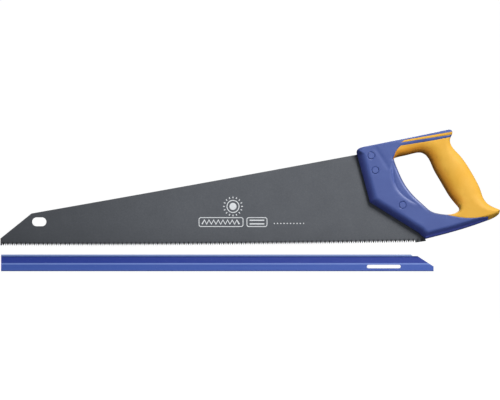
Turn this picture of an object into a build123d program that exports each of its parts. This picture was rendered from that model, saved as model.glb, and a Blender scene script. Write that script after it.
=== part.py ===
from build123d import *
import os

# Hand saw with a two-material handle and a slide-on blade guard, in millimetres.
# Everything is drawn with x measured from the blade's nose towards the handle, y across the
# thickness with the blade's middle plane at 0, and z up from the tooth line's end at the nose.
# The last step moves every piece so that the origin is the centre of the hand grip.
# The saw's left side faces -Y. The guard is drawn pulled off, level, below the teeth.

GRIP_CENTRE_X = 590.0
GRIP_CENTRE_Z = 87.0

# blade
PLATE = 0.9
TOOTH_PITCH = 2.85
TOOTH_DEPTH = 3.2
TOOTH_START_X = 2.6
TOOTH_COUNT = 187
TOOTH_LINE_MID = (267.0, 0.6)
TOOTH_LINE_END = (536.0, 4.3)
HANG_SLOT_CENTRE = (50.3, 31.1)
HANG_SLOT_LENGTH = 18.4
HANG_SLOT_HEIGHT = 11.4

# handle
HANDLE_THICKNESS = 28.0
OUTER_ROUND = 5.0
OPENING_ROUND = 7.0
KERF = 1.0
SPINE_THICKNESS = 13.0
STRIPE_DEPTH = 2.5
STRIPE_END_CAP = 3.0
RECESS_DEPTH = 1.6

# fastening points: x and z of each centre
FASTENERS = {"upper": (479.6, 116.6), "middle": (484.7, 97.7), "lower": (520.1, 52.8)}
BORE_RADIUS = 4.6
PLUG_RADIUS = 4.4
PLUG_THICKNESS = 3.2
PLUG_SUNK = 0.1
PLUG_BEVEL = 0.8
HEAD_SEAT_Y = 8.0
HEAD_RADIUS = 4.2
HEAD_THICKNESS = 2.6
SCREW_RADIUS = 1.95
SCREW_REACH = 6.0
SLEEVE_RADIUS = 3.0
SLEEVE_BORE_RADIUS = 2.05
SHAFT_HOLE_RADIUS = 3.15
DRIVE_SLOT_WIDTH = 1.2
DRIVE_SLOT_DEPTH = 1.3

# blade guard
GUARD_START_X = 1.0
GUARD_END_X = 560.4
GUARD_BOTTOM_Z = -32.8
GUARD_TOP_Z = -11.3
GUARD_FLOOR = 1.8
GUARD_LIP_HALF = 3.3
GUARD_NECK_HALF = 2.4
GUARD_BODY_HALF = 3.7
GUARD_MOUTH_HALF = 2.1
GUARD_GAP_HALF = 1.15
GUARD_CHAMBER_HALF = 1.8
GUARD_SLOT_CENTRE_X = 496.1
GUARD_SLOT_CENTRE_Z = -26.8
GUARD_SLOT_LENGTH = 44.0
GUARD_SLOT_HEIGHT = 4.6


def slab(outline, thickness):
    """A plate of this thickness, centred on the blade's plane, from an outline in x and z."""
    face = make_face(Plane.XZ * outline)
    return extrude(face, amount=thickness / 2, both=True)


def across(radius, centre, y_from, y_to):
    """A round rod along y between two depths, at an x and z centre."""
    x, z = centre
    rod = Cylinder(radius, abs(y_to - y_from), rotation=(90, 0, 0))
    return Pos(x, (y_from + y_to) / 2, z) * rod


def tooth_line_z(x):
    """Height of the gently bowed tooth line, a parabola through its two ends and its middle."""
    mid_x, mid_z = TOOTH_LINE_MID
    end_x, end_z = TOOTH_LINE_END
    bow = (end_z - mid_z * end_x / mid_x) / (end_x * (end_x - mid_x))
    slope = mid_z / mid_x - bow * mid_x
    return bow * x * x + slope * x


def tooth_points():
    """Gullets and tips from the heel back to the nose."""
    points = []
    for half_pitches in reversed(range(2 * TOOTH_COUNT + 1)):
        x = TOOTH_START_X + half_pitches * TOOTH_PITCH / 2
        rise = 0 if half_pitches % 2 else TOOTH_DEPTH
        points.append((x, tooth_line_z(x) + rise))
    return points


def make_blade():
    """Tapered plate with its teeth, plain heel, hidden tang, fastening holes and hang slot."""
    nose = Polyline((TOOTH_START_X - 0.4, 0.6), (0, 0.6), (0, 9.5), (40.3, 41.9))
    back = ThreePointArc((40.3, 41.9), (250.0, 79.2), (461.3, 118.0))
    tang = [(461.3, 118.0), (497, 121), (499, 108), (502, 92), (507, 77), (520, 62), (537, 47.5), (545, 38)]
    heel = [(549.4, 26), (549.4, 10.5), (550.6, 6.3), (537.2, 4.3), (536.2, 7.0)]
    teeth = [*tooth_points(), (TOOTH_START_X - 0.4, 0.6)]
    plate = slab(nose + back + Polyline(*tang, *heel, *teeth), PLATE)
    hang_slot = SlotOverall(HANG_SLOT_LENGTH, HANG_SLOT_HEIGHT)
    plate -= extrude(Plane.XZ * Pos(*HANG_SLOT_CENTRE) * hang_slot, amount=PLATE, both=True)
    for centre in FASTENERS.values():
        plate -= across(SHAFT_HOLE_RADIUS, centre, -PLATE, PLATE)
    return plate


def handle_outline():
    """The whole handle in profile: cheek, top rail, neck, back of the grip, horn and chin."""
    front = Polyline((549.8, 8.9), (541.0, 17.2), (478.3, 56.2), (461.2, 118.8))
    corner = TangentArc((461.2, 118.8), (466.8, 127.5), tangent=front % 1)
    rail = Spline((466.8, 127.5), (530.0, 140.1), (580.5, 150.6))
    rail_end = Line((580.5, 150.6), (584.6, 147.0))
    neck = [(584.6, 147.0), (583.6, 142.5), (581.7, 138.0), (581.8, 133.0), (593.1, 118.2)]
    back = [(606.3, 100.1), (615.3, 84.5), (621.2, 71.6), (625.0, 61.2), (632.0, 53.2), (646.4, 46.2)]
    horn = Polyline((646.4, 46.2), (642.0, 38.8), (634.5, 34.5))
    bottom = Spline((634.5, 34.5), (608.3, 25.2), (582.4, 17.4), (549.8, 8.9))
    return front + corner + rail + rail_end + Spline(*neck, *back) + horn + bottom


def hand_opening():
    """The hole for the hand as one closed curve: under the rail, down the grip, up the cheek."""
    corner = [(509.4, 109.8), (509.6, 112.7), (512.0, 114.2)]
    under_rail = [(526, 117.4), (538, 120.3), (544.5, 120.4), (550.0, 117.6), (554.5, 112)]
    grip_front = [(559.9, 100.1), (568.7, 84.5), (580.3, 65.1), (590.6, 52.2), (593.8, 46.6)]
    floor = [(590.0, 43.0), (578.5, 40.4), (567, 41.6), (557.2, 44.6), (548, 52.0)]
    cheek = [(537.2, 61.9), (520.2, 84.3), (512.8, 100.8)]
    return Spline(*corner, *under_rail, *grip_front, *floor, *cheek, periodic=True)


def cheek_recess():
    """The crescent that is sunk into each cheek beside the hand opening."""
    cheek_side = Spline((507.8, 109.5), (506.2, 97.0), (513.0, 72.0), (530.0, 57.2), (543.5, 50.2))
    opening_side = Spline((543.5, 50.2), (526.2, 68.0), (512.0, 93.5), (507.8, 109.5))
    return cheek_side + opening_side


def soft_region():
    """Profile of the soft overmould: below the rail, round the grip and over the horn."""
    above = Spline((507.9, 112.4), (509.3, 116.4), (512.4, 123.6), (517.5, 129.4))
    under_rail = Polyline((517.5, 129.4), (556.0, 135.6), (584.0, 140.9), (680.0, 156.0), (680.0, 20.0))
    horn_joint = Polyline((680.0, 20.0), (630.6, 20.0), (630.6, 37.8))
    below = Spline((630.6, 37.8), (613.0, 36.2), (598.5, 36.4), (578.7, 40.0))
    through_opening = Polyline((578.7, 40.0), (574.0, 48.0), (560.0, 60.0), (525.0, 100.0), (507.9, 112.4))
    return above + under_rail + horn_joint + below + through_opening


def grip_spine():
    """The hard bar inside the soft grip, from the rail down to the blue foot of the handle."""
    front = [(563.0, 141.0), (565.0, 120.0), (576.0, 94.0), (596.0, 64.0), (602.0, 48.0), (601.0, 32.0)]
    back = [(613.0, 33.0), (616.0, 54.0), (612.0, 70.0), (602.0, 90.0), (588.0, 111.0), (575.0, 141.0)]
    return Polyline(*front, *back, close=True)


def stripe_region():
    """Profile of the stripe along the top rail, pointed at its front end."""
    return Polyline((518.2, 133.7), (522.8, 136.8), (600.0, 150.3), (600.0, 146.2), close=True)


def make_handle_body():
    """The handle with its rounded edges, before it is divided into its materials."""
    body = slab(handle_outline(), HANDLE_THICKNESS)
    body -= slab(hand_opening(), HANDLE_THICKNESS + 2)
    for side_index in (0, -1):
        side = body.faces().filter_by(Axis.Y).sort_by(Axis.Y)[side_index]
        body = fillet(side.inner_wires()[0].edges(), OPENING_ROUND)
    for side_index in (0, -1):
        side = body.faces().filter_by(Axis.Y).sort_by(Axis.Y)[side_index]
        body = fillet(side.outer_wire().edges(), OUTER_ROUND)
    return body


def make_rail_inlay(body):
    """The soft stripe: a strip on each side of the rail, joined round the rail's rear end."""
    between = Box(200, HANDLE_THICKNESS - 2 * STRIPE_DEPTH, 60)
    rail_end_x = 584.0 - STRIPE_END_CAP
    strip = body & slab(stripe_region(), HANDLE_THICKNESS + 2)
    return strip - Pos(rail_end_x - 100, 0, 140) * between


def make_soft_grip(body):
    grip = body & slab(soft_region(), HANDLE_THICKNESS + 2)
    return grip - slab(grip_spine(), SPINE_THICKNESS)


def make_handle_core(body, soft_grip, rail_inlay, blade):
    """The hard handle: all that is left of the body, with its kerf, bores and recesses."""
    core = body - soft_grip - rail_inlay
    kerf_outline = make_face(blade.faces().sort_by(Axis.Y)[0].outer_wire())
    recess = slab(cheek_recess(), HANDLE_THICKNESS + 2)
    recess -= slab(cheek_recess(), HANDLE_THICKNESS - 2 * RECESS_DEPTH)
    core -= recess
    core -= Pos(0, (PLATE - KERF) / 2, 0) * extrude(kerf_outline, amount=KERF)
    for centre in FASTENERS.values():
        core -= across(SHAFT_HOLE_RADIUS, centre, -HEAD_SEAT_Y, HEAD_SEAT_Y)
        for side in (-1, 1):
            core -= across(BORE_RADIUS, centre, side * HEAD_SEAT_Y, side * HANDLE_THICKNESS)
    return core


def drive_slot(centre, side):
    """The straight slot that a screwdriver turns, across a head's outer face."""
    x, z = centre
    outer_y = side * (HEAD_SEAT_Y + HEAD_THICKNESS)
    return Pos(x, outer_y, z) * Box(3 * HEAD_RADIUS, 2 * DRIVE_SLOT_DEPTH, DRIVE_SLOT_WIDTH)


def make_screw(centre):
    """Slotted screw from the right side; its shank ends inside the sleeve nut."""
    head = across(HEAD_RADIUS, centre, HEAD_SEAT_Y, HEAD_SEAT_Y + HEAD_THICKNESS)
    shank = across(SCREW_RADIUS, centre, -SCREW_REACH, HEAD_SEAT_Y)
    return head + shank - drive_slot(centre, 1)


def make_sleeve_nut(centre):
    """Slotted sleeve nut from the left side; its barrel passes through the blade."""
    head = across(HEAD_RADIUS, centre, -HEAD_SEAT_Y - HEAD_THICKNESS, -HEAD_SEAT_Y)
    barrel = across(SLEEVE_RADIUS, centre, -HEAD_SEAT_Y, SCREW_REACH)
    bore = across(SLEEVE_BORE_RADIUS, centre, -HEAD_SEAT_Y, HEAD_SEAT_Y)
    return head + barrel - bore - drive_slot(centre, -1)


def make_plug(centre, side):
    """Small disc that closes a fastener's bore almost flush with the cheek."""
    outer_y = HANDLE_THICKNESS / 2 - PLUG_SUNK
    disc = across(PLUG_RADIUS, centre, side * (outer_y - PLUG_THICKNESS), side * outer_y)
    outer_face = disc.faces().filter_by(GeomType.PLANE).sort_by(Axis.Y)[0 if side < 0 else -1]
    return chamfer(outer_face.edges(), PLUG_BEVEL)


def guard_section():
    """Half of the channel's section as y and z: floor, wide body, shoulder, neck and flared lip."""
    bottom, top = GUARD_BOTTOM_Z, GUARD_TOP_Z
    outside = [(0, bottom), (GUARD_BODY_HALF - 0.8, bottom), (GUARD_BODY_HALF, bottom + 0.8)]
    outside += [(GUARD_BODY_HALF, bottom + 8.6), (GUARD_NECK_HALF, bottom + 10.4)]
    outside += [(GUARD_NECK_HALF, top - 3.4), (GUARD_LIP_HALF, top - 2.2), (GUARD_LIP_HALF, top)]
    inside = [(GUARD_MOUTH_HALF, top), (GUARD_GAP_HALF, top - 3.0), (GUARD_GAP_HALF, bottom + 9.4)]
    inside += [(GUARD_CHAMBER_HALF, bottom + 7.6), (GUARD_CHAMBER_HALF, bottom + GUARD_FLOOR)]
    inside += [(0, bottom + GUARD_FLOOR)]
    return Polyline(*outside, *inside, close=True)


def make_blade_guard():
    """The channel that covers the teeth, with its oblique handle end and its long slot."""
    half = make_face(Plane.YZ * guard_section())
    channel = extrude(half, amount=GUARD_END_X - GUARD_START_X)
    channel = Pos(GUARD_START_X, 0, 0) * (channel + mirror(channel, about=Plane.XZ))
    step = [(531.0, GUARD_TOP_Z + 1), (531.0, GUARD_TOP_Z), (533.6, -13.2), (539.6, -13.2)]
    oblique = [(GUARD_END_X, -26.6), (GUARD_END_X + 1, -26.6), (GUARD_END_X + 1, GUARD_TOP_Z + 1)]
    channel -= slab(Polyline(*step, *oblique, close=True), 4 * GUARD_BODY_HALF)
    slot = Plane.XZ * Pos(GUARD_SLOT_CENTRE_X, GUARD_SLOT_CENTRE_Z)
    slot *= SlotOverall(GUARD_SLOT_LENGTH, GUARD_SLOT_HEIGHT)
    return channel - extrude(slot, amount=2 * GUARD_BODY_HALF, both=True)


def write(name, piece):
    """Moves a piece to the grip's centre and writes it under its own name."""
    placed = Pos(-GRIP_CENTRE_X, 0, -GRIP_CENTRE_Z) * piece
    placed.label = name
    export_step(placed, f"parts/{name}.step")


def main():
    os.makedirs("parts", exist_ok=True)
    body = make_handle_body()
    blade = make_blade()
    soft_grip = make_soft_grip(body)
    rail_inlay = make_rail_inlay(body)
    write("blade", blade)
    write("soft_grip", soft_grip)
    write("rail_inlay", rail_inlay)
    write("handle_core", make_handle_core(body, soft_grip, rail_inlay, blade))
    write("blade_guard", make_blade_guard())
    for place, centre in FASTENERS.items():
        write(f"{place}_screw", make_screw(centre))
        write(f"{place}_sleeve_nut", make_sleeve_nut(centre))
        write(f"{place}_plug_left", make_plug(centre, -1))
        write(f"{place}_plug_right", make_plug(centre, 1))


main()
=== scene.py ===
import math

import bpy
import numpy as np
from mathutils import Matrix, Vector
from mathutils.geometry import delaunay_2d_cdt


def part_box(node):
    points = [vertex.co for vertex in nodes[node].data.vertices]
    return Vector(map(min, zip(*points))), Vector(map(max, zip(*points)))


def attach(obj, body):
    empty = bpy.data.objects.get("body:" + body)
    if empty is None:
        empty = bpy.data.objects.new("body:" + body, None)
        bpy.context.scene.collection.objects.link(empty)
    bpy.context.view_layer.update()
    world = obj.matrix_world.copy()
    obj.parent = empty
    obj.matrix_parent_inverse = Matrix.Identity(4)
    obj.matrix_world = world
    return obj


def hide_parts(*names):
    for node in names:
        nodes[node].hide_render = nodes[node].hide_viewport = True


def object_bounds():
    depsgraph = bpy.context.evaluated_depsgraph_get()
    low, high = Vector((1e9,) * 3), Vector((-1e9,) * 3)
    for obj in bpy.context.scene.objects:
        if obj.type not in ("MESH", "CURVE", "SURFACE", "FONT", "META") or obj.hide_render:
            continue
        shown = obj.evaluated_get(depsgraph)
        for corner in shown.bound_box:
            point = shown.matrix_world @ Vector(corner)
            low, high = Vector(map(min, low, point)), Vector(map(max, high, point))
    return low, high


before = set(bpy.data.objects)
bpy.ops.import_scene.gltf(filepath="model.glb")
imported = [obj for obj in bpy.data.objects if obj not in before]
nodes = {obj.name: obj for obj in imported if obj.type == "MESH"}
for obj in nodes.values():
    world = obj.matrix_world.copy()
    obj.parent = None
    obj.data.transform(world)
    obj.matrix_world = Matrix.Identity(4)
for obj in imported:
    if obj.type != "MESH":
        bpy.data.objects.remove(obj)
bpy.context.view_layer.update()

# Outlines are drawn in millimetres: x from the blade's nose, z up from the tooth line at the nose.
MM = 0.001
BLADE_LOW, BLADE_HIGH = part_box("blade")
PLATE_HALF = round(BLADE_HIGH.y / MM, 2)
HANDLE_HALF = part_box("handle_core")[1].y / MM

# The tooth line is a parabola from the nose through a middle point to the heel; it dips, then rises.
MID_X, MID_RISE = 267.0, 0.6
HEEL_X, HEEL_RISE = 536.0, 4.3
TOOTH_LINE_BOW = (HEEL_RISE - MID_RISE * HEEL_X / MID_X) / (HEEL_X * (HEEL_X - MID_X))
TOOTH_LINE_SLOPE = MID_RISE / MID_X - TOOTH_LINE_BOW * MID_X
TOOTH_LINE_DIP = 0.141

# The teeth, the bevel along the plate's other edges, and how far the print stands off the plate.
TOOTH_PITCH = 2.85
TOOTH_DEPTH = 3.2
TOOTH_START_X = 2.6
TOOTH_COUNT = 187
TOOTH_SET = 0.25
BLADE_BEVEL = 0.14
BEVEL_DROP = 0.12
PRINT_LIFT = 0.02

# How far the painted shade reaches back from the nose, the darkening up from the teeth, and the marks above
# them.
NOSE_SHADE = 240.0
LOW_SHADE = 30.0
MARK_SOLID, MARK_TOP = 3.4, 5.8

NOSE_X = BLADE_LOW.x
TOOTH_LINE_Z = BLADE_LOW.z + TOOTH_LINE_DIP * MM


def in_row(x, y, z):
    """A place in the outlines' millimetres, as the row's metres."""
    return NOSE_X + x * MM, y * MM, TOOTH_LINE_Z + z * MM


def linear(red, green, blue):
    """A colour given as 0 to 255 on a screen, as the linear values that shaders take."""
    values = [c / 255 for c in (red, green, blue)]
    return tuple(c / 12.92 if c <= 0.04045 else ((c + 0.055) / 1.055) ** 2.4 for c in values) + (1.0,)


# ---------------------------------------------------------------- curves in x and z

def spline(points, closed=False, step=1.0):
    """A cubic spline through the points, sampled about every step."""
    p = np.array(points, float)
    if closed:
        p = np.vstack([p, p[:1]])
    chord = np.linalg.norm(np.diff(p, axis=0), axis=1)
    n = len(p)
    system = np.zeros((n, n))
    bend = np.zeros((n, 2))
    for i in range(1, n - 1):
        system[i, i - 1:i + 2] = chord[i - 1], 2 * (chord[i - 1] + chord[i]), chord[i]
        bend[i] = 6 * ((p[i + 1] - p[i]) / chord[i] - (p[i] - p[i - 1]) / chord[i - 1])
    if closed:
        system[0, [0, 1, n - 2]] = 2 * (chord[-1] + chord[0]), chord[0], chord[-1]
        bend[0] = 6 * ((p[1] - p[0]) / chord[0] - (p[0] - p[-2]) / chord[-1])
        system[n - 1, [0, n - 1]] = 1, -1
    else:
        system[0, 0] = system[n - 1, n - 1] = 1
    second = np.linalg.solve(system, bend)
    out = []
    for i in range(n - 1):
        count = max(1, round(chord[i] / step))
        s = (np.arange(count) / count * chord[i])[:, None]
        slope = (p[i + 1] - p[i]) / chord[i] - chord[i] * (2 * second[i] + second[i + 1]) / 6
        rise = (second[i + 1] - second[i]) / (6 * chord[i])
        out.append(p[i] + slope * s + second[i] / 2 * s ** 2 + rise * s ** 3)
    if not closed:
        out.append(p[-1:])
    return np.vstack(out)


def even(points, step):
    """Adds points along the long runs of a closed outline, so that none is over step."""
    out = []
    for a, b in zip(points, np.roll(points, -1, axis=0)):
        length = np.linalg.norm(b - a)
        if length < 1e-6:
            continue
        count = max(1, math.ceil(length / step - 0.01))
        out.extend(a + (b - a) * k / count for k in range(count))
    return np.array(out)


def straight(a, b):
    """Points from a towards b, about a millimetre apart, without b itself."""
    count = max(1, round(math.dist(a, b)))
    return [np.array(a) + (np.array(b) - np.array(a)) * k / count for k in range(count)]


def rounded_box(low, high, radius):
    """The closed outline of a level rectangle with rounded corners, from its lower left corner on."""
    step = 0.8
    left, right = low[0] + radius, high[0] - radius
    bottom, top = low[1] + radius, high[1] - radius
    count = max(2, round(radius * math.pi / 2 / step) + 2)
    out = []
    for turn, (x, z) in enumerate([(left, bottom), (right, bottom), (right, top), (left, top)]):
        for k in range(count + 1):
            angle = math.pi + (turn + k / count) * math.pi / 2
            out.append((x + radius * math.cos(angle), z + radius * math.sin(angle)))
    return even(np.array(out), step)


def circle(centre, radius, count=40):
    """A closed outline of count points."""
    angle = np.arange(count) * 2 * math.pi / count
    return np.array(centre) + radius * np.column_stack([np.cos(angle), np.sin(angle)])


def inside(points, outline):
    """True for each point inside a closed outline."""
    x, z = points[:, 0], points[:, 1]
    result = np.zeros(len(points), bool)
    for a, b in zip(outline, np.roll(outline, -1, axis=0)):
        crosses = (a[1] > z) != (b[1] > z)
        with np.errstate(divide="ignore", invalid="ignore"):
            edge_x = (b[0] - a[0]) * (z - a[1]) / (b[1] - a[1]) + a[0]
        result ^= crosses & (x < edge_x)
    return result


def distance(points, outline, closed=True):
    """(distance to the outline, index of the nearest run) for each point."""
    starts = outline if closed else outline[:-1]
    ends = np.roll(outline, -1, axis=0) if closed else outline[1:]
    best = np.full(len(points), 1e9)
    nearest = np.zeros(len(points), int)
    for i, (a, b) in enumerate(zip(starts, ends)):
        run = b - a
        t = np.clip(((points - a) @ run) / (run @ run), 0, 1)
        d = np.linalg.norm(points - (a + t[:, None] * run), axis=1)
        closer = d < best
        best[closer] = d[closer]
        nearest[closer] = i
    return best, nearest


def beside(outline, offset, closed=True):
    """The outline's points moved sideways by offset, to its left."""
    if closed:
        along = np.roll(outline, -1, axis=0) - np.roll(outline, 1, axis=0)
    else:
        along = np.gradient(outline, axis=0)
    along /= np.linalg.norm(along, axis=1)[:, None]
    return outline + offset * np.column_stack([-along[:, 1], along[:, 0]])


def smoothstep(low, high, value):
    """0 up to low and 1 from high on, eased in between; high may be the smaller one."""
    t = np.clip((value - low) / (high - low), 0, 1)
    return t * t * (3 - 2 * t)


# ---------------------------------------------------------------- meshes from fields

def triangulate(loops, lines, loose):
    """(points, triangles) with every loop and line as edges and the loose points inside."""
    points, edges = [], []
    for loop in loops:
        first = len(points)
        points.extend(loop)
        edges.extend((first + i, first + (i + 1) % len(loop)) for i in range(len(loop)))
    for line in lines:
        first = len(points)
        points.extend(line)
        edges.extend((first + i, first + i + 1) for i in range(len(line) - 1))
    points.extend(loose)
    made = delaunay_2d_cdt([Vector(p) for p in points], edges, [], 0, 1e-4)
    return np.array([(v.x, v.y) for v in made[0]]), np.array(made[2])


def spaced(points, keep_off, gap):
    """The points that stand at least gap from every outline in keep_off."""
    for outline, closed in keep_off:
        points = points[distance(points, outline, closed)[0] >= gap]
    return points


def grid(low, high, step):
    """Points in staggered rows between two corners."""
    x = np.arange(low[0], high[0], step)
    z = np.arange(low[1], high[1], step * 0.87)
    gx, gz = np.meshgrid(x, z)
    gx[1::2] += step / 2
    return np.column_stack([gx.ravel(), gz.ravel()])


def two_sided(name, points, triangles, half, sharp_degrees=40):
    """A closed mesh: the triangles at -half and +half of the thickness, joined round every border."""
    used, where = np.unique(triangles, return_inverse=True)
    faces = where.reshape(-1, 3)
    p, h = points[used], half[used]
    count = len(p)
    left = np.column_stack(in_row(p[:, 0], -h, p[:, 1]))
    right = np.column_stack(in_row(p[:, 0], h, p[:, 1]))
    area = np.cross(p[faces[:, 1]] - p[faces[:, 0]], p[faces[:, 2]] - p[faces[:, 0]])
    faces[area < 0] = faces[area < 0][:, ::-1]
    edges = {}
    for a, b, c in faces:
        for edge in ((a, b), (b, c), (c, a)):
            edges[edge] = edges.get(edge, 0) + 1
    walls = [(b, a, a + count, b + count) for a, b in edges if (b, a) not in edges]
    polygons = [tuple(f) for f in faces] + [tuple(f[::-1] + count) for f in faces] + walls
    mesh = bpy.data.meshes.new(name)
    mesh.from_pydata(np.vstack([left, right]).tolist(), [], [[int(i) for i in f] for f in polygons])
    mesh.validate()
    mesh.polygons.foreach_set("use_smooth", [True] * len(mesh.polygons))
    mesh.set_sharp_from_angle(angle=math.radians(sharp_degrees))
    piece = bpy.data.objects.new(name, mesh)
    bpy.context.scene.collection.objects.link(piece)
    return piece, used


def paint(piece, name, values):
    """Stores one number per point of a two-sided mesh, for its material to read."""
    attribute = piece.data.attributes.new(name, "FLOAT", "POINT")
    attribute.data.foreach_set("value", np.tile(values, 2).astype(np.float32))


# ---------------------------------------------------------------- materials

class Shader:
    """A material with a Principled shader and short calls for the nodes in front of it."""

    def __init__(self, name, **plain):
        self.material = bpy.data.materials.new(name)
        self.material.use_nodes = True
        self.tree = self.material.node_tree
        self.shader = self.tree.nodes["Principled BSDF"]
        for socket, value in plain.items():
            self.shader.inputs[socket.replace("_", " ")].default_value = value

    def node(self, kind, **settings):
        """A new node; each setting is one of its properties or else one of its inputs."""
        made = self.tree.nodes.new(kind)
        for key, value in settings.items():
            if hasattr(made, key):
                setattr(made, key, value)
            else:
                made.inputs[key.replace("_", " ")].default_value = value
        return made

    def link(self, source, target):
        self.tree.links.new(source, target)

    def place(self, stretch=(1, 1, 1)):
        """Position in the object's own frame, in metres, stretched along each axis."""
        where = self.node("ShaderNodeTexCoord").outputs["Object"]
        mapping = self.node("ShaderNodeMapping")
        mapping.inputs["Scale"].default_value = stretch
        self.link(where, mapping.inputs["Vector"])
        return mapping.outputs["Vector"]

    def noise(self, scale, detail=3.0, stretch=(1, 1, 1), roughness=0.5):
        """Noise from 0 to 1 over the object, with scale in features a metre."""
        made = self.node("ShaderNodeTexNoise", Scale=scale, Detail=detail, Roughness=roughness)
        self.link(self.place(stretch), made.inputs["Vector"])
        return made.outputs["Fac"]

    def remap(self, value, low, high, to_low=0.0, to_high=1.0):
        """The value moved from one range to another, and held at its ends."""
        made = self.node("ShaderNodeMapRange", clamp=True)
        ends = {"From Min": low, "From Max": high, "To Min": to_low, "To Max": to_high}
        for socket, number in ends.items():
            made.inputs[socket].default_value = number
        self.link(value, made.inputs["Value"])
        return made.outputs["Result"]

    def band(self, value, rise, fall):
        """1 from the end of the first stretch to the start of the second, eased to 0 over both."""
        return self.math("MULTIPLY", self.remap(value, *rise), self.remap(value, *fall, 1.0, 0.0))

    def math(self, operation, a, b=0.0):
        """One operation on two numbers or sockets; those on a single one leave b out."""
        made = self.node("ShaderNodeMath", operation=operation)
        for socket, value in zip(made.inputs, (a, b)):
            if isinstance(value, (int, float)):
                socket.default_value = value
            else:
                self.link(value, socket)
        return made.outputs["Value"]

    def mix(self, amount, a, b):
        """Colour a where amount is 0 and b where it is 1."""
        made = self.node("ShaderNodeMix", data_type="RGBA")
        self.link(amount, made.inputs["Factor"])
        for socket, value in zip((made.inputs[6], made.inputs[7]), (a, b)):
            if isinstance(value, tuple):
                socket.default_value = value
            else:
                self.link(value, socket)
        return made.outputs[2]

    def attribute(self, name):
        """What paint() stored on the piece, or 0 where nothing is."""
        return self.node("ShaderNodeAttribute", attribute_name=name).outputs["Fac"]

    def axis(self, letter):
        """X, Y or Z of the place in the row, in metres."""
        made = self.node("ShaderNodeSeparateXYZ")
        self.link(self.place(), made.inputs["Vector"])
        return made.outputs[letter]

    def colour(self, value):
        self.link(value, self.shader.inputs["Base Color"])

    def rough(self, value):
        self.link(value, self.shader.inputs["Roughness"])

    def bump(self, *layers):
        """Layers of (height, depth in metres), one bump node each, chained."""
        normal = None
        for height, depth in layers:
            made = self.node("ShaderNodeBump", Distance=depth, Strength=1.0)
            self.link(height, made.inputs["Height"])
            if normal:
                self.link(normal, made.inputs["Normal"])
            normal = made.outputs["Normal"]
        self.link(normal, self.shader.inputs["Normal"])


def moulded_plastic(name, base, pale, scuff, roughness):
    """Hard moulded plastic: faint flow marks, fine grain, and paler scuffs where edges rub. On the
    handle it paints shade, a deeper and more saturated blue down the flanks and a dark line along the
    opening's rim, and a pale painted highlight on the two ridges beside the opening."""
    m = Shader(name, Specular_IOR_Level=0.45)
    flow = m.remap(m.noise(26.0, 4.0, (1, 1, 2.5)), 0.35, 0.7)
    tone = m.mix(flow, base, pale)
    # Painted shade: the flanks turn a deeper, more saturated blue as they fall away from the face.
    tone = m.mix(m.attribute("flank"), tone, linear(74, 85, 168))
    # Painted highlight: the ridges beside the opening are lightened.
    tone = m.mix(m.math("MULTIPLY", m.attribute("ridge"), 0.55), tone, linear(136, 150, 208))
    # Painted shade: a dark line along the opening's rim.
    tone = m.mix(m.math("MULTIPLY", m.attribute("rim"), 0.5), tone, linear(30, 38, 82))
    wear_and_highlight = m.math("MULTIPLY", m.remap(m.noise(420.0, 5.0), 0.55, 0.72), m.attribute("edge"))
    fine = m.math("MULTIPLY", m.remap(m.noise(180.0, 6.0, (0.35, 1, 3.0)), 0.64, 0.72), 0.10)
    m.colour(m.mix(m.math("ADD", m.math("MULTIPLY", wear_and_highlight, 0.45), fine), tone, scuff))
    m.rough(m.remap(m.noise(90.0, 5.0), 0.3, 0.7, roughness - 0.05, roughness + 0.08))
    m.bump((m.noise(1500.0, 2.0), 0.000035), (m.noise(60.0, 3.0), 0.00006))
    return m.material


def row_height(z):
    """A height in the outlines' millimetres, as the row's metres."""
    return in_row(0, 0, z)[2]


# Where the guard's shoulder, neck and lip begin and end on its outside, each with a soft edge.
SHOULDER_RISE = (row_height(-24.4), row_height(-24.0))
SHOULDER_FALL = (row_height(-22.4), row_height(-22.0))
NECK_RISE = (row_height(-22.6), row_height(-22.0))
NECK_FALL = (row_height(-14.6), row_height(-13.9))
LIP_RISE = (row_height(-13.7), row_height(-13.1))


def extruded_plastic():
    """The guard's plastic: painted shade darkens its neck, painted highlights lighten its lip and shoulder.
    """
    m = Shader("blue_guard", Specular_IOR_Level=0.5)
    level = m.axis("Z")
    shoulder = m.band(level, SHOULDER_RISE, SHOULDER_FALL)
    neck = m.band(level, NECK_RISE, NECK_FALL)
    lip = m.remap(level, *LIP_RISE)
    streaks = m.remap(m.noise(160.0, 5.0, (0.03, 1, 6)), 0.35, 0.7)
    tone = m.mix(streaks, linear(66, 94, 178), linear(72, 101, 184))
    # Painted shade: the neck band is darkened.
    tone = m.mix(m.math("MULTIPLY", neck, 0.85), tone, linear(36, 56, 150))
    # Painted highlights on the lip and the shoulder, which face up towards the light.
    wear_and_highlight = m.math("MAXIMUM", m.math("MULTIPLY", lip, 0.68), m.math("MULTIPLY", shoulder, 0.35))
    tone = m.mix(wear_and_highlight, tone, linear(150, 170, 210))
    nicks = m.math("MULTIPLY", m.remap(m.noise(500.0, 6.0, (0.4, 1, 2)), 0.66, 0.74), 0.25)
    m.colour(m.mix(nicks, tone, linear(140, 158, 208)))
    m.rough(m.remap(m.noise(90.0, 5.0, (0.2, 1, 2)), 0.3, 0.7, 0.30, 0.42))
    m.bump((m.noise(900.0, 3.0, (0.06, 1, 3)), 0.00003), (m.noise(45.0, 3.0), 0.00006))
    return m.material


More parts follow.
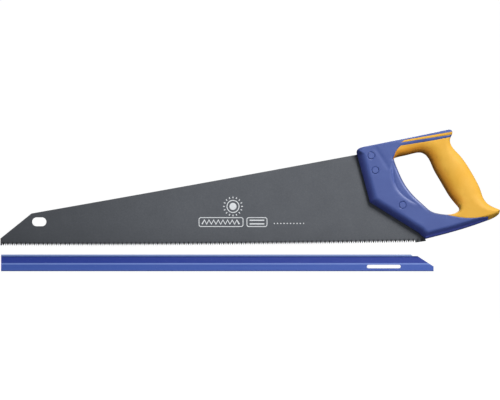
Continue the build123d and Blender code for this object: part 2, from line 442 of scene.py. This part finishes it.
def soft_rubber(name, base, deep, grime, painted_shade_orange):
    """Soft overmoulded grip: warm colour drift, painted shade in a deeper orange on the finger side,
    fine matt grain and grime.
    """
    m = Shader(name, Specular_IOR_Level=0.25)
    drift = m.remap(m.noise(34.0, 4.0), 0.35, 0.68)
    tone = m.mix(drift, base, deep)
    # Painted shade: a deeper orange towards the finger side of the opening.
    tone = m.mix(m.math("MULTIPLY", m.attribute("front"), 0.75), tone, painted_shade_orange)
    held = m.math("MULTIPLY", m.remap(m.noise(140.0, 6.0), 0.5, 0.72), m.attribute("held"))
    m.colour(m.mix(m.math("MULTIPLY", held, 0.16), tone, grime))
    m.rough(m.remap(m.noise(110.0, 5.0), 0.3, 0.7, 0.50, 0.66))
    m.bump((m.noise(1900.0, 2.0), 0.00004), (m.noise(75.0, 3.0), 0.00008))
    return m.material


def hardening_and_lean_shade(m):
    """How dark the plate is above the teeth: the hardening's own dark colour, with painted shade of the
    teeth's lean as a mark above every second tooth on each side, left and right in turn, fading out
    upwards."""
    x = m.math("SUBTRACT", m.axis("X"), NOSE_X)
    line = m.math("MULTIPLY", x, m.math("ADD", m.math("MULTIPLY", x, TOOTH_LINE_BOW / MM), TOOTH_LINE_SLOPE))
    above = m.math("SUBTRACT", m.math("SUBTRACT", m.axis("Z"), TOOTH_LINE_Z), line)
    heel_tip = (TOOTH_START_X + (TOOTH_COUNT - 0.5) * TOOTH_PITCH) * MM
    from_tip = m.math("SUBTRACT", x, heel_tip)
    # Painted shade for the teeth's lean: darkest above the teeth that lean towards this face.
    turn = m.math("COSINE", m.math("MULTIPLY", from_tip, math.pi / (TOOTH_PITCH * MM)))
    turn = m.math("MULTIPLY", turn, m.math("MULTIPLY", m.math("SIGN", m.axis("Y")), -0.5))
    fade = m.remap(above, MARK_SOLID * MM, MARK_TOP * MM, 1.0, 0.0)
    return m.math("MULTIPLY", fade, m.math("ADD", turn, 0.45))


def coated_steel():
    """Dark low-friction coating: fine speckle, faint rolling lines, painted shade towards the nose,
    darker low down, and dark above the teeth with the hardening's colour and painted shade."""
    m = Shader("coated_blade", Metallic=0.0, Specular_IOR_Level=0.4)
    speckle = m.remap(m.noise(1400.0, 3.0), 0.32, 0.68)
    mottle = m.remap(m.noise(430.0, 4.0, roughness=0.7), 0.36, 0.64)
    cloud = m.remap(m.noise(38.0, 5.0), 0.3, 0.7)
    tone = m.mix(cloud, linear(95, 98, 103), linear(101, 104, 109))
    tone = m.mix(m.math("MULTIPLY", speckle, 0.35), tone, linear(66, 69, 74))
    tone = m.mix(m.math("MULTIPLY", mottle, 0.28), tone, linear(74, 76, 82))
    flecks = m.math("MULTIPLY", m.remap(m.noise(2600.0, 1.0), 0.68, 0.78), 0.35)
    tone = m.mix(flecks, tone, linear(135, 138, 142))
    # Painted shade: the coating darkens towards the nose.
    nose = m.remap(m.axis("X"), NOSE_X, NOSE_X + NOSE_SHADE * MM, 0.55, 0.0)
    tone = m.mix(nose, tone, linear(50, 52, 56))
    low = m.remap(m.axis("Z"), TOOTH_LINE_Z, TOOTH_LINE_Z + LOW_SHADE * MM, 0.22, 0.0)
    tone = m.mix(low, tone, linear(45, 47, 50))
    # Dark above the teeth: the hardening's colour and painted shade.
    m.colour(m.mix(hardening_and_lean_shade(m), tone, linear(20, 20, 24)))
    m.rough(m.remap(m.noise(220.0, 6.0, (0.3, 1, 2.5)), 0.3, 0.7, 0.38, 0.55))
    m.bump((speckle, 0.00003), (m.noise(300.0, 4.0, (0.08, 1, 6)), 0.00002))
    return m.material


def ground_steel(name, dark, light):
    """Tooth facets: steel with fine grinding marks, between a darker and a lighter tone."""
    m = Shader(name, Metallic=0.6)
    grind = m.noise(2400.0, 3.0, (1, 1, 0.25))
    m.colour(m.mix(m.remap(grind, 0.3, 0.7), dark, light))
    m.rough(m.remap(grind, 0.3, 0.7, 0.35, 0.55))
    m.bump((grind, 0.00002))
    return m.material


def zinc_steel():
    """Dull zinc plating with fine turning marks, for the hidden fasteners."""
    m = Shader("zinc_plated", Metallic=0.9)
    marks = m.noise(1200.0, 4.0, (1, 6, 1))
    m.colour(m.mix(m.remap(marks, 0.3, 0.7), linear(150, 150, 146), linear(186, 186, 180)))
    m.rough(m.remap(m.noise(260.0, 5.0), 0.3, 0.7, 0.3, 0.5))
    m.bump((marks, 0.00003))
    return m.material


def print_ink():
    """White screen print, slightly broken by the coating under it."""
    m = Shader("white_print", Specular_IOR_Level=0.3)
    broken = m.remap(m.noise(1500.0, 4.0), 0.60, 0.72)
    m.colour(m.mix(m.math("MULTIPLY", broken, 0.5), linear(232, 234, 236), linear(128, 132, 136)))
    m.rough(m.remap(m.noise(500.0, 3.0), 0.3, 0.7, 0.5, 0.7))
    m.bump((m.noise(1800.0, 3.0), 0.00001))
    return m.material


def dress(piece, *materials):
    """Gives a piece its materials and keeps which face has which."""
    which = np.zeros(len(piece.data.polygons), np.int32)
    piece.data.polygons.foreach_get("material_index", which)
    piece.data.materials.clear()
    for material in materials:
        piece.data.materials.append(material)
    piece.data.polygons.foreach_set("material_index", np.minimum(which, len(materials) - 1))


# ---------------------------------------------------------------- handle

def fastener_centre(name):
    """x and z of a fastening point, from its left plug."""
    low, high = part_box(f"{name}_plug_left")
    centre = (low + high) / 2
    return round((centre.x - NOSE_X) / MM, 1), round((centre.z - TOOTH_LINE_Z) / MM, 1)


FASTENERS = {name: fastener_centre(name) for name in ("upper", "middle", "lower")}
BORE_RADIUS = 4.6

# Half the thickness that the handle's surface never goes under.
THINNEST_HALF = 1.2

# Lines sunk in the handle's surface, as depth and reach: the soft parts' seams, the plugs' rings and
# the crease over the cheek.
SEAM_DEPTH, SEAM_REACH = 0.30, 0.4
RING_DEPTH, RING_REACH = 0.55, 0.5
CREASE_DEPTH, CREASE_REACH = 0.4, 3.0

# The finger crescent's depth at its lower and its upper end.
RECESS_LOW_DEPTH, RECESS_TOP_DEPTH = 0.95, 1.7


def handle_outline():
    """The whole handle in profile, from the chin round by the cheek, rail, grip and horn."""
    diagonal = straight((549.8, 8.9), (541.0, 17.2)) + straight((541.0, 17.2), (478.3, 56.2))
    front = straight((478.3, 56.2), (461.2, 118.8))
    corner = spline([(461.2, 118.8), (461.0, 122.0), (462.4, 125.0), (466.8, 127.5)])
    rail = spline([(466.8, 127.5), (530.0, 140.1), (578.0, 150.0)])
    rail_end = spline([(578.0, 150.0), (581.5, 150.2), (584.0, 148.6), (584.5, 146.0), (583.4, 142.5),
                       (581.7, 138.5), (581.8, 133.5), (584.6, 127.6), (593.1, 118.2), (606.3, 100.1),
                       (615.3, 84.5), (621.2, 71.6), (625.0, 61.2), (632.0, 53.2), (640.8, 48.8),
                       (646.2, 46.6)])
    horn = spline([(646.2, 46.6), (645.2, 42.3), (642.0, 38.8), (634.5, 34.5)])
    bottom = spline([(634.5, 34.5), (608.3, 25.2), (582.4, 17.4), (549.8, 8.9)])
    runs = [diagonal, front, corner[:-1], rail[:-1], rail_end[:-1], horn[:-1], bottom[:-1]]
    return np.vstack([np.array(run) for run in runs])


def follow(outline, stations):
    """Each number of the stations at every point of a closed outline, eased between the stations."""
    length = np.concatenate([[0], np.cumsum(np.linalg.norm(np.diff(outline, axis=0), axis=1))])
    total = length[-1] + np.linalg.norm(outline[0] - outline[-1])
    where = [length[np.argmin(np.linalg.norm(outline - np.array(s[0]), axis=1))] for s in stations]
    order = np.argsort(where)
    at = np.array(where)[order]
    at = np.concatenate([at[-1:] - total, at, at[:1] + total])
    values = []
    for column in range(1, len(stations[0])):
        v = np.array([stations[i][column] for i in order])
        values.append(np.interp(length, at, np.concatenate([v[-1:], v, v[:1]])))
    return values


def edge_width(outline):
    """Width, depth and shape of the outer edge's rounding, at every point of the outline."""
    stations = [((541, 17.2), 10.5, 8.0, 1.0), ((480, 55), 11.0, 8.0, 1.0), ((461, 116), 11.0, 8.0, 1.0),
                ((463, 125.5), 5.0, 5.0, 0.5), ((470, 128.5), 1.4, 1.6, 0.0), ((530, 140), 1.0, 1.2, 0.0),
                ((578, 150), 1.0, 1.2, 0.0), ((584, 146), 3.0, 4.0, 0.0), ((582, 138), 4.0, 5.0, 0.0),
                ((590, 121), 15.0, 8.5, 0.0), ((610, 93), 20.0, 9.5, 0.0), ((622, 69), 18.0, 9.5, 0.0),
                ((632, 53), 8.0, 8.0, 0.0), ((644, 47), 3.0, 5.0, 0.0), ((643, 39), 6.0, 6.5, 1.0),
                ((634, 34.4), 7.0, 6.0, 1.6), ((620, 29), 8.6, 6.0, 2.0), ((575, 15.5), 9.6, 6.0, 2.0),
                ((553, 9.6), 9.6, 6.0, 2.0), ((549.8, 8.9), 9.6, 6.5, 1.5)]
    return follow(outline, stations)


def hand_opening():
    """The opening's outline, from the top of the crescent round by the rail, the grip and the chin."""
    return spline([(509.4, 109.8), (509.2, 112.7), (512.0, 114.2), (526, 117.4), (538, 120.3), (544.5, 120.4),
                   (550.0, 117.6), (554.5, 112), (559.9, 100.1), (568.7, 84.5), (580.3, 65.1), (590.6, 52.2),
                   (593.8, 46.6), (590.0, 43.0), (578.5, 40.4), (567, 41.6), (557.2, 44.6), (548, 52.0),
                   (537.2, 61.9), (520.2, 84.3), (512.8, 100.8)], closed=True)


def opening_width(outline):
    """Width and depth of the opening's rounding, at every point of its outline."""
    stations = [((509, 110), 2.6, 2.2), ((513, 114.5), 9.5, 12.0), ((538, 120.3), 14.0, 12.5),
                ((549, 119), 21.0, 12.5), ((560, 100), 22.0, 12.5), ((576, 72), 22.0, 12.5),
                ((589, 54), 13.0, 10.0), ((593.8, 46.6), 4.0, 5.0), ((580, 40.5), 1.2, 1.2),
                ((556, 45), 1.2, 1.2), ((548, 52), 2.6, 1.3), ((537, 62), 4.4, 2.0), ((513, 100), 4.0, 2.0)]
    return follow(outline, stations)


def soft_region():
    """Closed outline of the soft overmould; the stretches outside the handle don't matter."""
    above = spline([(507.9, 112.4), (509.3, 116.4), (512.4, 123.6), (517.5, 129.4)])
    under_rail = straight((517.5, 129.4), (556.0, 135.6)) + straight((556.0, 135.6), (584.0, 140.9))
    outside = [(584.0, 140.9), (680.0, 156.0), (680.0, 20.0), (630.6, 20.0)]
    joint = straight((630.6, 20.0), (630.6, 37.8))
    below = spline([(630.6, 37.8), (613.0, 36.2), (598.5, 36.4), (578.7, 40.0)])
    through = [(574.0, 48.0), (560.0, 60.0), (525.0, 100.0)]
    return np.vstack([above, under_rail[1:], outside, joint[1:], below, through])


def stripe_region():
    """Closed outline of the rail's stripe; its end outside the handle doesn't matter."""
    return even(np.array([(518.2, 133.7), (522.8, 136.8), (600.0, 150.3), (600.0, 146.2)]), 1.0)


def recess_lines():
    """The two edges of the crescent sunk beside the opening: cheek side, then opening side."""
    cheek = spline([(507.8, 109.5), (506.2, 97.0), (513.0, 72.0), (530.0, 57.2), (543.5, 50.2)], step=0.7)
    opening = spline([(543.5, 50.2), (526.2, 68.0), (512.0, 93.5), (507.8, 109.5)], step=0.7)
    return cheek, opening


# Edge shapes from the face (0) to the edge (1), with their drop as a share of the edge's depth.
FLANK = [(0, 0), (0.08, 0.008), (0.19, 0.045), (0.31, 0.115), (0.43, 0.215), (0.55, 0.345), (0.66, 0.48),
         (0.78, 0.645), (0.9, 0.83), (1, 1)]
UNDER = [(0, 0), (0.08, 0.02), (0.2, 0.11), (0.38, 0.34), (0.62, 0.72), (0.66, 0.77), (0.88, 0.98), (1, 1.25)]


def rounding(d, width, depth, shape=0.0):
    """Drop of the surface at distance d from an edge. Shape 0 is a quarter ellipse, 1 a steep flank and
    2 the lower edge's flank with a narrow strip along its foot; numbers in between are blends."""
    t = np.clip(1 - d / width, 0, 1)
    curve = 1 - np.sqrt(1 - t * t)
    flank = np.interp(t, *np.array(FLANK).T)
    under = np.interp(t, *np.array(UNDER).T)
    low = curve + (flank - curve) * np.clip(shape, 0, 1)
    return depth * (low + (under - flank) * np.clip(np.asarray(shape) - 1, 0, 1))


RAIL_TOP = [(466.8, 127.5), (530.0, 140.1), (578.0, 150.0), (640.0, 163.0)]
RAIL_PROFILE = [(-5, 2.2), (0, 2.2), (0.8, 1.3), (1.8, 0.9), (2.6, 0.3), (4.2, 0.0), (5.8, 0.1), (6.6, 0.4),
                (8.6, 0.75), (9.6, 1.0), (10.4, 1.0), (12.0, 0.8), (15.0, 0.55), (22.0, 0.25), (32.0, 0.0)]


def rail_drop(points):
    """The bead along the top rail: full at the stripe, then falling back to a valley over the grip."""
    top = np.array(RAIL_TOP)
    below = (np.interp(points[:, 0], top[:, 0], top[:, 1]) - points[:, 1]) * 0.98
    profile = np.array(RAIL_PROFILE)
    return np.interp(below, profile[:, 0], profile[:, 1]) * smoothstep(508, 530, points[:, 0])


def crease_drop(points):
    """A faint, wide valley that runs slantwise over the upper cheek."""
    line = np.array([(486.0, 124.5), (494.0, 113.0), (501.0, 101.5)])
    return CREASE_DEPTH * np.exp(-(distance(points, line, False)[0] / CREASE_REACH) ** 2)


def recess_drop(points, recess):
    """The finger crescent: it sinks across its cheek-side line and stays low up to the hand opening."""
    cheek, rim = recess
    from_wall = distance(points, cheek, False)[0]
    gap = from_wall - distance(points, rim, False)[0]
    within = inside(points, np.vstack([cheek[:-1], rim[:-1]]))
    opening_side = within | (gap > 0.2)
    signed = np.where(opening_side, from_wall, -from_wall)
    ends = smoothstep(0, 10, np.linalg.norm(points - cheek[0], axis=1))
    ends *= smoothstep(0, 14, np.linalg.norm(points - cheek[-1], axis=1))
    shelf = np.where(opening_side & ~within, smoothstep(0.2, 2.0, gap) * smoothstep(16, 12, from_wall), 1.0)
    wall = np.clip((signed + 3.0) / 4.6, 0, 1) ** 2
    upwards = smoothstep(64, 88, points[:, 1])
    depth = RECESS_LOW_DEPTH + (RECESS_TOP_DEPTH - RECESS_LOW_DEPTH) * upwards
    sunk = depth * (wall - 0.3 * smoothstep(1.7, 3.3, signed))
    return sunk * ends * shelf


def handle_field(points, outer, opening, recess):
    """At each point: half the handle's thickness, wear near the edges, how far the point is down the
    flank, and its distance from the hand opening."""
    outer_d, outer_i = distance(points, outer)
    inner_d, inner_i = distance(points, opening)
    outer_w, outer_deep, shape = (v[outer_i] for v in edge_width(outer))
    inner_w, inner_deep = (v[inner_i] for v in opening_width(opening))
    drop_out = rounding(outer_d, outer_w, outer_deep, shape)
    drop_in = rounding(inner_d, inner_w, inner_deep)
    half = HANDLE_HALF - np.hypot(drop_out, drop_in)
    half -= rail_drop(points) + crease_drop(points) + recess_drop(points, recess)
    wear = np.exp(-np.minimum(outer_d, inner_d) / 3.0)
    flank = np.clip(1.6 * drop_out / outer_deep, 0, 1) * np.clip(shape, 0, 1)
    return np.maximum(half, THINNEST_HALF), np.clip(wear, 0, 1), flank, inner_d


def painted_ridge_highlight(points, recess, from_opening):
    """How strongly the two ridges beside the hand opening are lightened by a painted highlight: along it and
    along the crescent.
    """
    cheek, rim = recess
    gap = distance(points, cheek, False)[0]
    on_side = distance(points, rim, False)[0] < gap + 4.0
    upper = smoothstep(0, 8, np.linalg.norm(points - cheek[0], axis=1)) * smoothstep(62, 84, points[:, 1])
    first = 0.5 * np.exp(-((gap - 0.6) / 1.1) ** 2) * on_side * upper
    along = smoothstep(556, 546, points[:, 0]) * smoothstep(110, 104, points[:, 1])
    second = np.exp(-((from_opening - 2.4) / 0.75) ** 2) * along
    return np.maximum(first, second)


def handle_points(outer, opening, soft, stripe, recess):
    """Loose mesh points: rows that follow every edge and border closely, and a grid between them."""
    turn_out = 1 if inside(beside(outer, 0.5)[:1], outer)[0] else -1
    turn_in = -1 if inside(beside(opening, 0.5)[:1], opening)[0] else 1
    borders = [(outer, True), (opening, True), (soft, True), (stripe, True)]
    borders += [(circle(c, BORE_RADIUS), True) for c in FASTENERS.values()]
    borders += [(line, False) for line in recess]
    gap = 0.42
    rows = []
    for depth in (0.3, 0.8, 1.5, 2.4):
        ring = np.vstack([beside(outer, turn_out * depth), beside(opening, turn_in * depth)])
        rows.append(spaced(ring, borders, min(depth * 0.85, gap)))
    under = outer[(outer[:, 0] > 549) & (outer[:, 1] < 39)]
    under = under[np.argsort(under[:, 0])]
    for depth in (2.1, 2.75, 3.3, 7.5, 8.0, 8.5):
        rows.append(spaced(beside(under, depth, False), borders, gap))
    for shift in (-1.5, -0.75, 0.75, 1.5):
        for line in recess:
            rows.append(spaced(beside(line, shift, False), borders, gap))
    for shift in (-0.4, 0.4):
        rows.append(spaced(np.vstack([beside(soft, shift), beside(stripe, shift)]), borders, 0.28))
    for bore in FASTENERS.values():
        rows.append(circle(bore, BORE_RADIUS + 0.4))
    near = np.vstack(rows)
    near = near[inside(near, outer) & ~inside(near, opening)]
    field = spaced(grid(outer.min(axis=0), outer.max(axis=0), 1.25), borders, 0.6)
    clear = [np.min(np.sum((near - p) ** 2, axis=1)) > 0.3 for p in field]
    return np.vstack([near, field[clear]])


def make_handle():
    """Blue core, soft grip and rail stripe, cut from one smooth field so that they meet exactly."""
    outer, opening = handle_outline(), hand_opening()
    soft, stripe = soft_region(), stripe_region()
    recess = recess_lines()
    bores = [circle(c, BORE_RADIUS) for c in FASTENERS.values()]
    loose = handle_points(outer, opening, soft, stripe, recess)
    points, triangles = triangulate([outer, opening, soft, stripe, *bores], recess, loose)
    middle = points[triangles].mean(axis=1)
    solid = inside(middle, outer) & ~inside(middle, opening)
    for bore in FASTENERS.values():
        solid &= np.linalg.norm(middle - np.array(bore), axis=1) > BORE_RADIUS * 0.99
    in_soft = inside(middle, soft)
    in_stripe = inside(middle, stripe)
    half, wear, flank, from_opening = handle_field(points, outer, opening, recess)
    ridge = painted_ridge_highlight(points, recess, from_opening)
    seam = np.minimum(distance(points, soft)[0], distance(points, stripe)[0])
    half = half - SEAM_DEPTH * np.clip(1 - seam / SEAM_REACH, 0, 1)
    for bore in FASTENERS.values():
        from_ring = np.abs(np.linalg.norm(points - np.array(bore), axis=1) - BORE_RADIUS)
        half = half - RING_DEPTH * np.clip(1 - from_ring / RING_REACH, 0, 1)
    parts = {
        "handle_body": (solid & ~in_soft & ~in_stripe, "handle_core", "blue_handle_plastic"),
        "grip_overmould": (solid & in_soft, "soft_grip", "yellow_soft_grip"),
        "rail_stripe": (solid & in_stripe & ~in_soft, "rail_inlay", "yellow_soft_grip"),
    }
    made = {}
    for name, (chosen, node, slot) in parts.items():
        piece, used = two_sided(name, points, triangles[chosen], half)
        # Masks for the materials: edge wear and held grime, painted shade along the front, rim and flank, and
        # a painted highlight on the ridges.
        paint(piece, "edge", wear[used])
        paint(piece, "front", smoothstep(16, 2, from_opening[used]) * smoothstep(50, 62, points[used][:, 1]))
        paint(piece, "rim", smoothstep(1.8, 1.1, from_opening[used]))
        paint(piece, "ridge", ridge[used])
        paint(piece, "flank", flank[used])
        paint(piece, "held", smoothstep(26, 8, from_opening[used]) * smoothstep(40, 60, points[used][:, 1]))
        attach(piece, "saw")
        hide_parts(node)
        made[name] = piece
    return made


# ---------------------------------------------------------------- blade

def tooth_line(x):
    """The gently bowed tooth line, the same parabola as the CAD's."""
    return TOOTH_LINE_BOW * x * x + TOOTH_LINE_SLOPE * x


def blade_outline():
    """The plate's outline from the nose over the back to the heel, and its tooth roots back to the nose."""
    back = spline([(40.3, 41.9), (250.0, 79.2), (461.3, 118.0)], step=12.0)
    nose = [(2.2, 0.6), (0, 0.6), (0, 9.5)]
    tang = [(497, 121), (499, 108), (502, 92), (507, 77), (520, 62), (537, 47.5), (545, 38)]
    heel = [(549.4, 26), (549.4, 10.5), (550.6, 6.3), (537.2, 4.3), (536.2, 7.0)]
    root_x = TOOTH_START_X + TOOTH_PITCH * np.arange(TOOTH_COUNT, -1, -1)
    roots = np.column_stack([root_x, tooth_line(root_x) + TOOTH_DEPTH])
    return np.array([*nose, *back, *tang, *heel]), roots


def make_blade():
    """The plate with bevelled edges, and its teeth, set left and right in turn."""
    outline, roots = blade_outline()
    whole = np.vstack([outline, roots])
    slot = rounded_box((41.1, 25.4), (59.5, 36.8), 5.69)
    turn = 1 if inside(beside(whole, 0.3)[5:6], whole)[0] else -1
    inner = beside(whole, turn * BLADE_BEVEL)[1:len(outline) - 1]
    slot_side = -1 if inside(beside(slot, 0.3)[:1], slot)[0] else 1
    slot_rim = beside(slot, slot_side * BLADE_BEVEL)
    field = grid((0, 0), (550, 122), 9.0)
    field = spaced(field[inside(field, whole) & ~inside(field, slot)], [(whole, True), (slot, True)], 3.0)
    points, triangles = triangulate([whole, slot], [inner], np.vstack([slot_rim, field]))
    middle = points[triangles].mean(axis=1)
    chosen = inside(middle, whole) & ~inside(middle, slot)
    d = np.minimum(distance(points, outline[:-1], False)[0], distance(points, slot)[0])
    half = PLATE_HALF - BEVEL_DROP * np.clip(1 - d / BLADE_BEVEL, 0, 1)
    plate, _ = two_sided("saw_plate", points, triangles[chosen], half, 25)
    add_teeth(plate, roots)
    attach(plate, "saw")
    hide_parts("blade")
    return plate


def add_teeth(plate, roots):
    """Adds one pointed tooth between each two roots, leaning left and right in turn. The plate keeps
    material 0; a tooth's face on the side it leans to is 1, dark with the hardening's colour and painted
    shade, and its other faces are 2, ground."""
    mesh = plate.data
    vertices = [tuple(v.co) for v in mesh.vertices]
    faces = [tuple(f.vertices) for f in mesh.polygons]
    which = [0] * len(faces)
    for i in range(TOOTH_COUNT):
        right_root, left_root = roots[i], roots[i + 1]
        side = 1 if i % 2 else -1
        tip_x = (right_root[0] + left_root[0]) / 2
        corners = [(*right_root, -PLATE_HALF), (*right_root, PLATE_HALF)]
        corners += [(*left_root, -PLATE_HALF), (*left_root, PLATE_HALF)]
        corners += [(tip_x, tooth_line(tip_x), side * (PLATE_HALF + TOOTH_SET))]
        first = len(vertices)
        vertices += [in_row(x, y, z) for x, z, y in corners]
        faces += [(first, first + 4, first + 2), (first + 1, first + 3, first + 4)]
        faces += [(first, first + 1, first + 4), (first + 2, first + 4, first + 3)]
        faces += [(first, first + 2, first + 3, first + 1)]
        which += [1, 2, 2, 2, 2] if side < 0 else [2, 1, 2, 2, 2]
    made = bpy.data.meshes.new(mesh.name)
    made.from_pydata(vertices, [], faces)
    for _ in range(3):
        made.materials.append(None)
    made.polygons.foreach_set("material_index", which)
    plate.data = made


# ---------------------------------------------------------------- printed mark

def strip(line, width, closed=False):
    """(points, faces) of a flat strip along a line."""
    line = np.array(line, float)
    edges = zip(beside(line, width / 2, closed), beside(line, -width / 2, closed))
    points = [tuple(point) for pair in edges for point in pair]
    count = len(line)
    faces = []
    for k in range(count if closed else count - 1):
        n = (k + 1) % count
        faces.append((2 * k, 2 * k + 1, 2 * n + 1, 2 * n))
    return points, faces


def disc(centre, radius, count):
    """(points, faces) of a flat disc."""
    return [tuple(point) for point in circle(centre, radius, count)], [tuple(range(count))]


def print_shapes():
    """The mark's shapes, from left to right: a frame with a zigzag, the badge over it, a frame with two
    bars, and the dots."""
    bottom, top = 25, 36.5
    shapes = [strip(rounded_box((257, bottom), (314, top), 2.5), 1.0, closed=True)]
    shapes.append(strip([(261 + 3.0 * k, 28 + 5.5 * (k % 2)) for k in range(17)], 1.9))
    badge = np.array((301.0, 51.0))
    shapes.append(strip(circle(badge, 7.8, 48), 1.1, closed=True))
    shapes.append(disc(badge, 4.6, 32))
    for k in range(16):
        spoke = np.array((math.cos(k * math.pi / 8), math.sin(k * math.pi / 8)))
        shapes.append(strip([badge + spoke * 10.6, badge + spoke * 12.8], 1.2))
    shapes.append(strip(rounded_box((319, bottom), (345, top), 2.5), 1.0, closed=True))
    for z in (28.4, 33.1):
        shapes.append(strip([(322.5, z), (341.5, z)], 1.6))
    for k in range(10):
        shapes.append(disc((354.5 + 4.2 * k, 29.0), 0.8, 12))
    return shapes


def make_print():
    """The mark in one flat piece on the plate's left face: plain shapes, no lettering."""
    y = -(PLATE_HALF + PRINT_LIFT)
    points, faces = [], []
    for shape_points, shape_faces in print_shapes():
        first = len(points)
        points += [in_row(x, y, z) for x, z in shape_points]
        faces += [tuple(first + i for i in face) for face in shape_faces]
    mesh = bpy.data.meshes.new("blade_print")
    mesh.from_pydata(points, [], faces)
    mesh.validate()
    piece = bpy.data.objects.new("blade_print", mesh)
    bpy.context.scene.collection.objects.link(piece)
    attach(piece, "saw")
    return piece


# ---------------------------------------------------------------- stage, light and camera

def make_stage(centre, low):
    """A wide pale floor that curves up into a pale backdrop all round, beyond every camera."""
    floor_z = low.z - 0.12
    reach, bend, wall = 12.0, 2.0, 8.0
    turns, bend_steps = 64, 12
    profile = [(0.02, floor_z), (3.0, floor_z), (reach - bend, floor_z)]
    for k in range(1, bend_steps + 1):
        angle = math.pi / 2 * k / bend_steps
        rise = bend * (1 - math.cos(angle))
        profile.append((reach - bend + bend * math.sin(angle), floor_z + rise))
    profile.append((reach, floor_z + wall))
    vertices = []
    for radius, z in profile:
        for k in range(turns):
            angle = 2 * math.pi * k / turns
            vertices.append((centre.x + radius * math.cos(angle), centre.y + radius * math.sin(angle), z))
    faces = [tuple(range(turns))]
    for ring in range(0, turns * (len(profile) - 1), turns):
        for k in range(turns):
            n = (k + 1) % turns
            faces.append((ring + k, ring + turns + k, ring + turns + n, ring + n))
    mesh = bpy.data.meshes.new("sweep")
    mesh.from_pydata(vertices, [], faces)
    mesh.polygons.foreach_set("use_smooth", [True] * len(mesh.polygons))
    sweep = bpy.data.objects.new("sweep", mesh)
    bpy.context.scene.collection.objects.link(sweep)
    pale = Shader("pale_floor", Roughness=0.9, Specular_IOR_Level=0.0, Base_Color=(0.15, 0.15, 0.15, 1),
                  Emission_Color=(1, 1, 1, 1), Emission_Strength=1.0)
    dress(sweep, pale.material)
    sweep.visible_diffuse = False
    sweep.visible_glossy = False


def area_light(name, place, aim, size, power):
    """A rectangular lamp at a place, turned to face another."""
    data = bpy.data.lights.new(name, "AREA")
    data.shape = "RECTANGLE"
    data.size, data.size_y = size
    data.energy = power
    lamp = bpy.data.objects.new(name, data)
    lamp.location = place
    lamp.rotation_mode = "QUATERNION"
    lamp.rotation_quaternion = (Vector(aim) - Vector(place)).to_track_quat("-Z", "Y")
    bpy.context.scene.collection.objects.link(lamp)


def make_light(centre):
    """A small key from above and a little to the right, with weak fill and a low even ambient."""
    world = bpy.data.worlds.new("studio")
    world.use_nodes = True
    background = world.node_tree.nodes["Background"]
    background.inputs["Color"].default_value = (0.72, 0.84, 1.0, 1)
    background.inputs["Strength"].default_value = 0.10
    bpy.context.scene.world = world
    area_light("key", centre + Vector((1.05, -1.67, 1.39)), centre + Vector((0.05, 0, 0)), (0.9, 0.9), 66)
    area_light("fill", centre + Vector((0.6, -2.4, 0.1)), centre, (1.2, 0.8), 5)
    area_light("back", centre + Vector((-0.4, 1.6, 0.9)), centre, (1.4, 1.0), 22)


def make_camera():
    """A long lens, level and square to the blade, aimed at the middle of the saw's length."""
    away, view_width = 7.0, 0.647
    aim = in_row(323.0, 0, 59.3)
    data = bpy.data.cameras.new("camera")
    data.sensor_width = 36
    data.lens = data.sensor_width * away / view_width
    data.clip_end = 60
    camera = bpy.data.objects.new("camera", data)
    camera.location = (aim[0], -away, aim[2])
    camera.rotation_euler = (math.pi / 2, 0, 0)
    bpy.context.scene.collection.objects.link(camera)
    bpy.context.scene.camera = camera


# ---------------------------------------------------------------- the scene

blue = moulded_plastic("blue_handle", linear(74, 91, 154), linear(79, 97, 160), linear(140, 154, 200), 0.40)
plug_blue = moulded_plastic("blue_plug", linear(80, 97, 160), linear(86, 103, 166), linear(146, 160, 205),
                            0.36)
# The last colour is the grip's painted shade, a deeper orange.
yellow = soft_rubber("yellow_grip", linear(232, 178, 70), linear(230, 172, 58), linear(150, 100, 40),
                     linear(222, 136, 32))

handle = make_handle()
dress(handle["handle_body"], blue)
dress(handle["grip_overmould"], yellow)
dress(handle["rail_stripe"], yellow)

# The lean-side tooth faces: the hardening's dark colour and painted shade.
hardened_and_shaded = ground_steel("teeth_hardened_and_shaded", linear(10, 10, 12), linear(24, 23, 26))
ground = ground_steel("ground_teeth", linear(150, 150, 154), linear(196, 196, 200))
dress(make_blade(), coated_steel(), hardened_and_shaded, ground)
dress(make_print(), print_ink())
dress(nodes["blade_guard"], extruded_plastic())

zinc = zinc_steel()
for place in FASTENERS:
    dress(nodes[f"{place}_screw"], zinc)
    dress(nodes[f"{place}_sleeve_nut"], zinc)
    dress(nodes[f"{place}_plug_left"], plug_blue)
    dress(nodes[f"{place}_plug_right"], plug_blue)

scene_low, scene_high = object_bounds()
scene_centre = (scene_low + scene_high) / 2
make_stage(scene_centre, scene_low)
make_light(scene_centre)
make_camera()
bpy.context.scene.view_settings.view_transform = "Standard"
